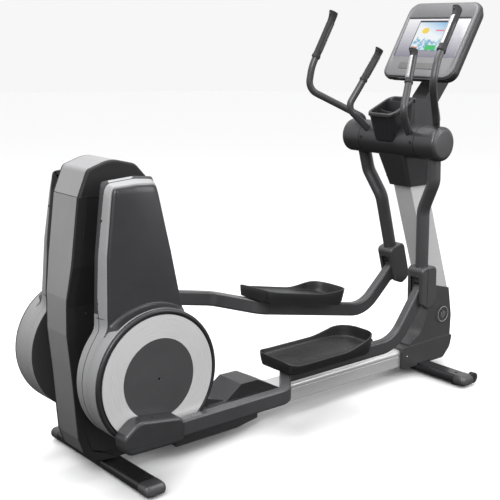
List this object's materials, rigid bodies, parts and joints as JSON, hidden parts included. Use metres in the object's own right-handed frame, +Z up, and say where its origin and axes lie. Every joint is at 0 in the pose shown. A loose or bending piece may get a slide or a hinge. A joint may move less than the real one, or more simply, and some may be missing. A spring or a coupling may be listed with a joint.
{
  "type": "elliptical trainer",
  "caption": "Rear-drive elliptical cross trainer: crank discs in tall rear covers, sliding pedal arms hung from swinging handle arms, centre beam, leaning mast and tilted console.",
  "frame": {"origin": "middle of the footprint on the floor", "axes": "+X from the drive to the console, +Y to the user's left, +Z up"},
  "size_m": [2.1069, 0.722, 1.7021],
  "materials": {
    "satin_aluminium": "satin anodised",
    "frame_steel": "powder coat",
    "black_paint": "semi gloss powder coat",
    "charcoal_paint": "satin powder coat",
    "bright_steel": "ground",
    "cast_generator": "painted casting",
    "brushed_ring": "brushed",
    "black_rubber": "matt",
    "silver_grey_plastic": "metallic grey, fine texture",
    "charcoal_plastic": "satin, fine texture",
    "black_plastic": "matt",
    "console_grey": "satin",
    "display_glass": "gloss panel",
    "screen": "lit display"
  },
  "bodies": {
    "frame": {"accessory_tray": "charcoal_plastic", "console_bezel": "console_grey", "console_bracket": "black_paint", "console_rear_housing": "charcoal_plastic", "crank_bearings": "bright_steel", "display_glass": "display_glass", "drive_belt": "black_rubber", "drum_inner_covers": "charcoal_plastic", "drum_outer_cover_left": "charcoal_plastic", "drum_outer_cover_right": "charcoal_plastic", "fixed_grips": "black_rubber", "fixed_handles": "black_paint", "front_base_shroud": "charcoal_plastic", "front_stabilizer": "black_paint", "generator": "cast_generator", "main_beam": "satin_aluminium", "mast": "satin_aluminium", "neck_shroud": "charcoal_plastic", "pivot_housing": "charcoal_plastic", "pivot_shaft": "bright_steel", "rear_base_fairing": "charcoal_plastic", "rear_frame": "frame_steel", "rear_stabilizer": "black_paint", "stabilizer_end_caps": "black_rubber", "touchscreen": "screen", "tower_back_cover": "silver_grey_plastic", "tower_cap": "silver_grey_plastic", "tower_front_cover": "black_plastic", "tower_side_panels": "black_plastic", "upper_neck_cover": "charcoal_plastic"},
    "crank": {"crankshaft": "bright_steel", "crank_discs": "charcoal_plastic", "disc_rings": "brushed_ring", "drive_pulley": "cast_generator"},
    "generator_rotor": {"generator_pulley": "bright_steel"},
    "swing_right": {"swing_arm_right": "black_paint", "end_housing_right": "charcoal_plastic", "rocker_cover_right": "charcoal_plastic", "moving_handle_right": "black_paint", "moving_grip_right": "black_rubber"},
    "pedal_body_right": {"pedal_arm_right": "charcoal_paint", "arm_boot_right": "charcoal_plastic", "pedal_right": "black_plastic"},
    "wheel_right": {"transport_wheel_right": "black_rubber"},
    "foot_rear_right": {"levelling_foot_rear_right": "black_rubber"},
    "foot_front_right": {"levelling_foot_front_right": "black_rubber"},
    "swing_left": {"swing_arm_left": "black_paint", "end_housing_left": "charcoal_plastic", "rocker_cover_left": "charcoal_plastic", "moving_handle_left": "black_paint", "moving_grip_left": "black_rubber"},
    "pedal_body_left": {"pedal_arm_left": "charcoal_paint", "arm_boot_left": "charcoal_plastic", "pedal_left": "black_plastic"},
    "wheel_left": {"transport_wheel_left": "black_rubber"},
    "foot_rear_left": {"levelling_foot_rear_left": "black_rubber"},
    "foot_front_left": {"levelling_foot_front_left": "black_rubber"},
    "stop_key_body": {"stop_key": "console_grey"},
    "pause_key_body": {"pause_key": "console_grey"},
    "start_key_body": {"start_key": "console_grey"}
  },
  "joints": [
    {"name": "swing_right", "type": "hinge", "parent": "frame", "child": "swing_right", "pos_m": [0.6895, 0, 1.117], "axis": [0, -1, 0], "range_deg": [-8, 22.5]},
    {"name": "swing_left", "type": "hinge", "parent": "frame", "child": "swing_left", "pos_m": [0.6895, 0, 1.117], "axis": [0, -1, 0], "range_deg": [-22.5, 8]},
    {"name": "pedal_arm_pivot_right", "type": "hinge", "parent": "swing_right", "child": "pedal_body_right", "pos_m": [0.70788, -0.16, 0.44925], "axis": [0, -1, 0], "range_deg": [-22.5, 8]},
    {"name": "pedal_arm_pivot_left", "type": "hinge", "parent": "swing_left", "child": "pedal_body_left", "pos_m": [0.8746, 0.16, 0.47516], "axis": [0, -1, 0], "range_deg": [-8, 22.5]},
    {"name": "crank_turn", "type": "hinge", "parent": "frame", "child": "crank", "pos_m": [-0.8065, 0, 0.418], "axis": [0, -1, 0], "continuous": true},
    {"name": "generator_spin", "type": "hinge", "parent": "frame", "child": "generator_rotor", "pos_m": [-0.8065, 0, 0.8], "axis": [0, -1, 0], "continuous": true},
    {"name": "wheel_spin_right", "type": "hinge", "parent": "frame", "child": "wheel_right", "pos_m": [0.8995, -0.328, 0.036], "axis": [0, 1, 0], "continuous": true},
    {"name": "level_rear_right", "type": "slide", "parent": "frame", "child": "foot_rear_right", "axis": [0, 0, -1], "range_m": [0, 0.01]},
    {"name": "level_front_right", "type": "slide", "parent": "frame", "child": "foot_front_right", "axis": [0, 0, -1], "range_m": [0, 0.01]},
    {"name": "wheel_spin_left", "type": "hinge", "parent": "frame", "child": "wheel_left", "pos_m": [0.8995, 0.328, 0.036], "axis": [0, 1, 0], "continuous": true},
    {"name": "level_rear_left", "type": "slide", "parent": "frame", "child": "foot_rear_left", "axis": [0, 0, -1], "range_m": [0, 0.01]},
    {"name": "level_front_left", "type": "slide", "parent": "frame", "child": "foot_front_left", "axis": [0, 0, -1], "range_m": [0, 0.01]},
    {"name": "stop_key_press", "type": "slide", "parent": "frame", "child": "stop_key_body", "axis": [0.859, 0, -0.512], "range_m": [0, 0.0015], "stiffness_N_per_m": 1500},
    {"name": "pause_key_press", "type": "slide", "parent": "frame", "child": "pause_key_body", "axis": [0.859, 0, -0.512], "range_m": [0, 0.0015], "stiffness_N_per_m": 1500},
    {"name": "start_key_press", "type": "slide", "parent": "frame", "child": "start_key_body", "axis": [0.859, 0, -0.512], "range_m": [0, 0.0015], "stiffness_N_per_m": 1500}
  ],
  "couplings": [
    {"joint": "swing_left", "follows": "swing_right", "ratio": -1},
    {"joint": "pedal_arm_pivot_right", "follows": "swing_right", "ratio": -1},
    {"joint": "pedal_arm_pivot_left", "follows": "swing_right", "ratio": 1},
    {"joint": "crank_turn", "follows": "swing_right", "ratio": 5.9016},
    {"joint": "generator_spin", "follows": "swing_right", "ratio": 21.639}
  ]
}
